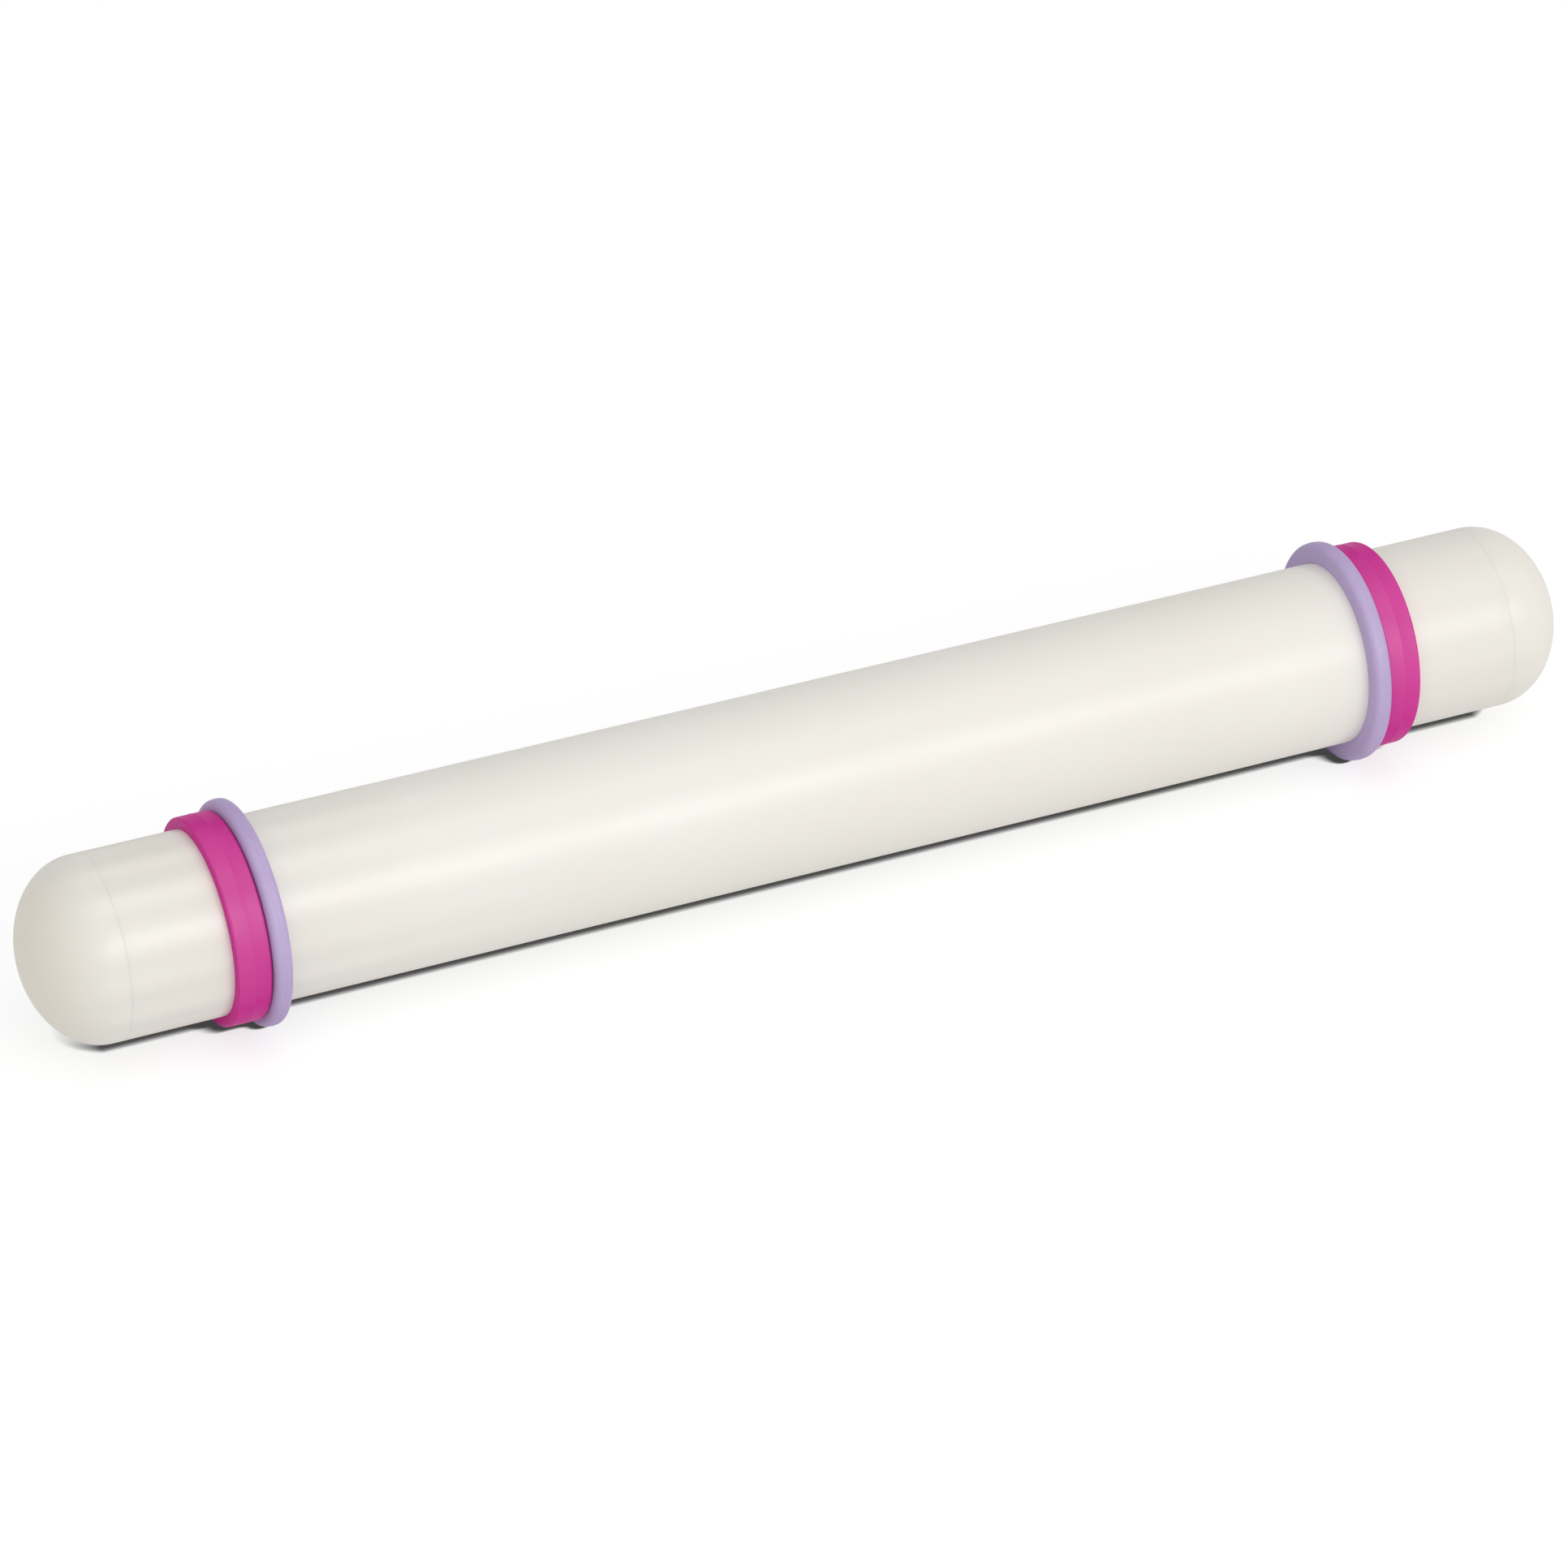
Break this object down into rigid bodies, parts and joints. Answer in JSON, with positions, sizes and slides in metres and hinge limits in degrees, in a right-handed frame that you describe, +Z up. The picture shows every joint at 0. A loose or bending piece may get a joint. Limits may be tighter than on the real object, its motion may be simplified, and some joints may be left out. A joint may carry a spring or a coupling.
{
  "type": "mini rolling pin",
  "caption": "Small handle-less rolling pin: hollow plastic roller with domed end caps and a pink and a lavender slip-on thickness guide ring near each end.",
  "frame": {"origin": "on the roller's axis, halfway between its two domed tips", "axes": "+X along the roller towards the right end, +Z up, so that +Y points away from the person who rolls"},
  "size_m": [0.2286, 0.0314, 0.0314],
  "materials": {
    "roller_plastic": "satin",
    "pink_rubber": "satin",
    "lavender_rubber": "satin"
  },
  "bodies": {
    "roller": {"roller_tube": "roller_plastic", "left_end_cap": "roller_plastic", "right_end_cap": "roller_plastic"},
    "left_lavender_guide": {"left_lavender_ring": "lavender_rubber"},
    "left_pink_guide": {"left_pink_ring": "pink_rubber"},
    "right_lavender_guide": {"right_lavender_ring": "lavender_rubber"},
    "right_pink_guide": {"right_pink_ring": "pink_rubber"}
  },
  "joints": [
    {"name": "left_lavender_slide", "type": "slide", "parent": "roller", "child": "left_lavender_guide", "axis": [-1, 0, 0], "range_m": [-0.075, 0.037]},
    {"name": "left_pink_slide", "type": "slide", "parent": "left_lavender_guide", "child": "left_pink_guide", "axis": [-1, 0, 0], "range_m": [0, 0.034]},
    {"name": "right_lavender_slide", "type": "slide", "parent": "roller", "child": "right_lavender_guide", "axis": [1, 0, 0], "range_m": [-0.075, 0.037]},
    {"name": "right_pink_slide", "type": "slide", "parent": "right_lavender_guide", "child": "right_pink_guide", "axis": [1, 0, 0], "range_m": [0, 0.034]}
  ]
}
